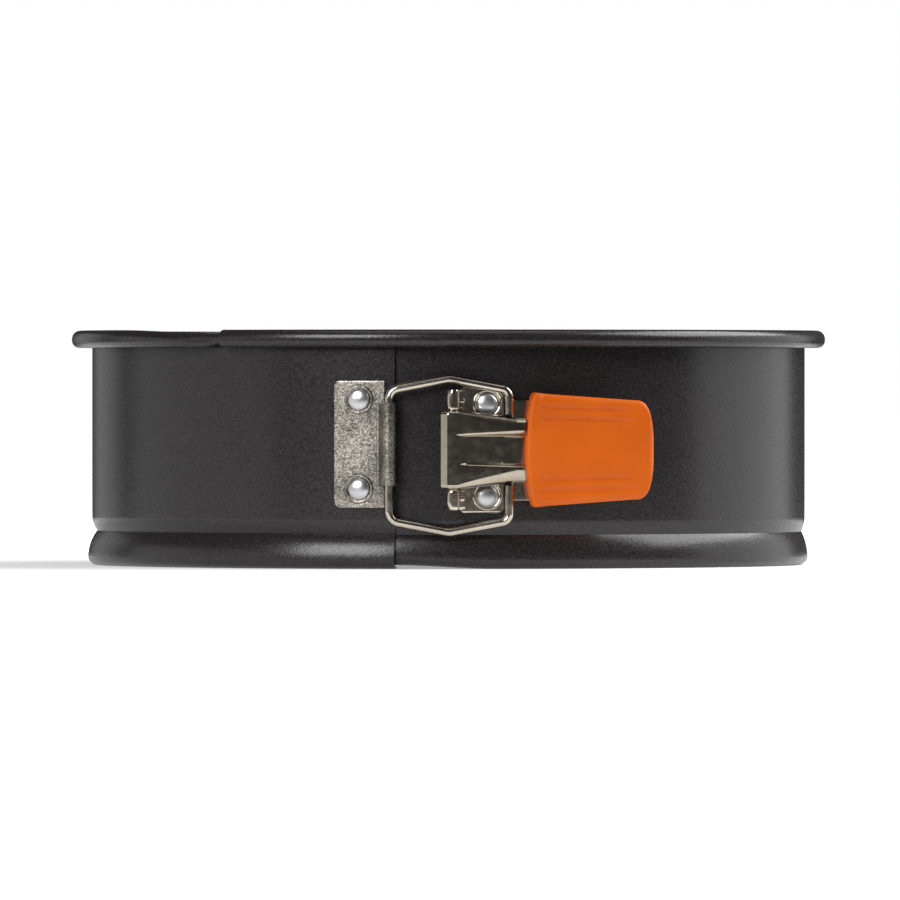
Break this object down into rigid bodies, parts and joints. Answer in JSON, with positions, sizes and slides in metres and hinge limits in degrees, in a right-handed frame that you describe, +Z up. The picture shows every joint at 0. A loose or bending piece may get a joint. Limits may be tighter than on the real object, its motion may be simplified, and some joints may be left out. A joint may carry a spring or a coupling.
{
  "type": "springform pan",
  "caption": "Round springform cake pan: an elastic sheet-steel ring with a rolled rim, closed by an over-centre lever latch round a loose base plate.",
  "frame": {"origin": "centre of the ring on the table, which is under the middle of the whole object", "axes": "+Z up along the ring's axis; the latch is at the front, towards -Y; +X is to the right when facing the latch"},
  "size_m": [0.2448, 0.2471, 0.076],
  "materials": {
    "band_coating": "dark grey non-stick coat on steel, satin, with fine metallic specks",
    "base_coating": "dark grey non-stick coat on steel, satin",
    "latch_steel": "nickel-plated steel sheet, finely grained",
    "rivet_steel": "plain steel rivets, smooth",
    "wire_steel": "plated steel wire, smooth",
    "grip_silicone": "orange silicone, matt with a soft sheen"
  },
  "bodies": {
    "band_back": {"band_back": "band_coating"},
    "base": {"base_plate": "base_coating"},
    "left_side": {"band_left_side": "band_coating"},
    "left_front": {"band_left_front": "band_coating", "bail_hinge_plate": "latch_steel", "hinge_rivet_upper": "rivet_steel", "hinge_rivet_lower": "rivet_steel"},
    "right_side": {"band_right_side": "band_coating"},
    "right_front": {"band_right_front": "band_coating", "lever_bracket": "latch_steel", "bracket_rivet_upper": "rivet_steel", "bracket_rivet_lower": "rivet_steel", "lever_pin": "wire_steel"},
    "lever": {"lever": "latch_steel", "lever_grip": "grip_silicone"},
    "bail": {"bail_wire": "wire_steel"}
  },
  "joints": [
    {"name": "base_lift", "type": "slide", "parent": "band_back", "child": "base", "axis": [0, 0, 1], "range_m": [0, 0.09]},
    {"name": "flex_left_rear", "type": "hinge", "parent": "band_back", "child": "left_side", "pos_m": [-0.08683, 0.08683, 0], "axis": [0, 0, -1], "range_deg": [0, 3]},
    {"name": "flex_left_front", "type": "hinge", "parent": "left_side", "child": "left_front", "pos_m": [-0.08683, -0.08683, 0], "axis": [0, 0, -1], "range_deg": [0, 3]},
    {"name": "flex_right_rear", "type": "hinge", "parent": "band_back", "child": "right_side", "pos_m": [0.08683, 0.08683, 0], "axis": [0, 0, 1], "range_deg": [0, 3]},
    {"name": "flex_right_front", "type": "hinge", "parent": "right_side", "child": "right_front", "pos_m": [0.08683, -0.08683, 0], "axis": [0, 0, 1], "range_deg": [0, 3]},
    {"name": "lever_pivot", "type": "hinge", "parent": "right_front", "child": "lever", "pos_m": [0.00109, -0.12039, 0.0378], "axis": [0, 0, -1], "range_deg": [0, 140]},
    {"name": "bail_pivot", "type": "hinge", "parent": "left_front", "child": "bail", "pos_m": [-0.0191, -0.1185, 0.036], "axis": [0, 0, -1], "range_deg": [0, 20.5]}
  ],
  "couplings": [
    {"joint": "flex_left_rear", "follows": "lever_pivot", "ratio": 0.021049},
    {"joint": "flex_left_front", "follows": "lever_pivot", "ratio": 0.021049},
    {"joint": "flex_right_rear", "follows": "lever_pivot", "ratio": 0.021049},
    {"joint": "flex_right_front", "follows": "lever_pivot", "ratio": 0.021049},
    {"joint": "bail_pivot", "follows": "lever_pivot", "ratio": 0.14388}
  ]
}
